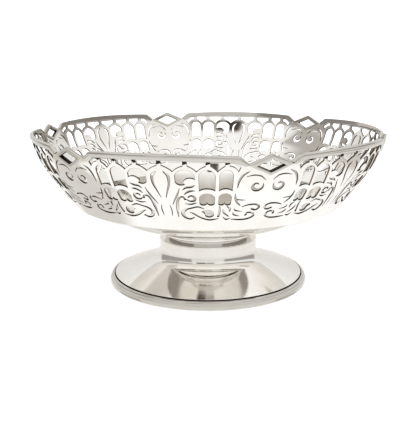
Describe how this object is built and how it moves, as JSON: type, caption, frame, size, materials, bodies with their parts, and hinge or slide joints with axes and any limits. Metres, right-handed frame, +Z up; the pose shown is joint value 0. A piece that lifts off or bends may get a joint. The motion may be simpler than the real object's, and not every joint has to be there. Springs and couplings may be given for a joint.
{
  "type": "punch bowl",
  "caption": "Round polished silver bowl with a pierced arcaded wall, open diamond mounts between moulded rim wires, on a recessed neck and a spreading hollow foot.",
  "frame": {"origin": "centre of the circle that the foot stands on", "axes": "+Z up along the axis of the bowl; a panel's middle lies 17 degrees from +X towards +Y, and the others every 60 degrees"},
  "size_m": [0.2536, 0.2536, 0.1134],
  "materials": {
    "polished_silver": "mirror-polished silver",
    "pierced_silver": "polished silver sheet with saw-pierced edges",
    "silver_wire": "polished silver moulding"
  },
  "bodies": {
    "root": {"bowl_dish": "polished_silver", "pierced_panel_1": "pierced_silver", "pierced_panel_2": "pierced_silver", "pierced_panel_3": "pierced_silver", "pierced_panel_4": "pierced_silver", "pierced_panel_5": "pierced_silver", "pierced_panel_6": "pierced_silver", "rim_wire_1": "silver_wire", "rim_wire_2": "silver_wire", "rim_wire_3": "silver_wire", "rim_wire_4": "silver_wire", "rim_wire_5": "silver_wire", "rim_wire_6": "silver_wire", "lozenge_mount_1": "silver_wire", "lozenge_mount_2": "silver_wire", "lozenge_mount_3": "silver_wire", "lozenge_mount_4": "silver_wire", "lozenge_mount_5": "silver_wire", "lozenge_mount_6": "silver_wire", "neck_collar": "polished_silver", "foot_shell": "polished_silver", "foot_rim_wire": "silver_wire"}
  },
  "joints": []
}
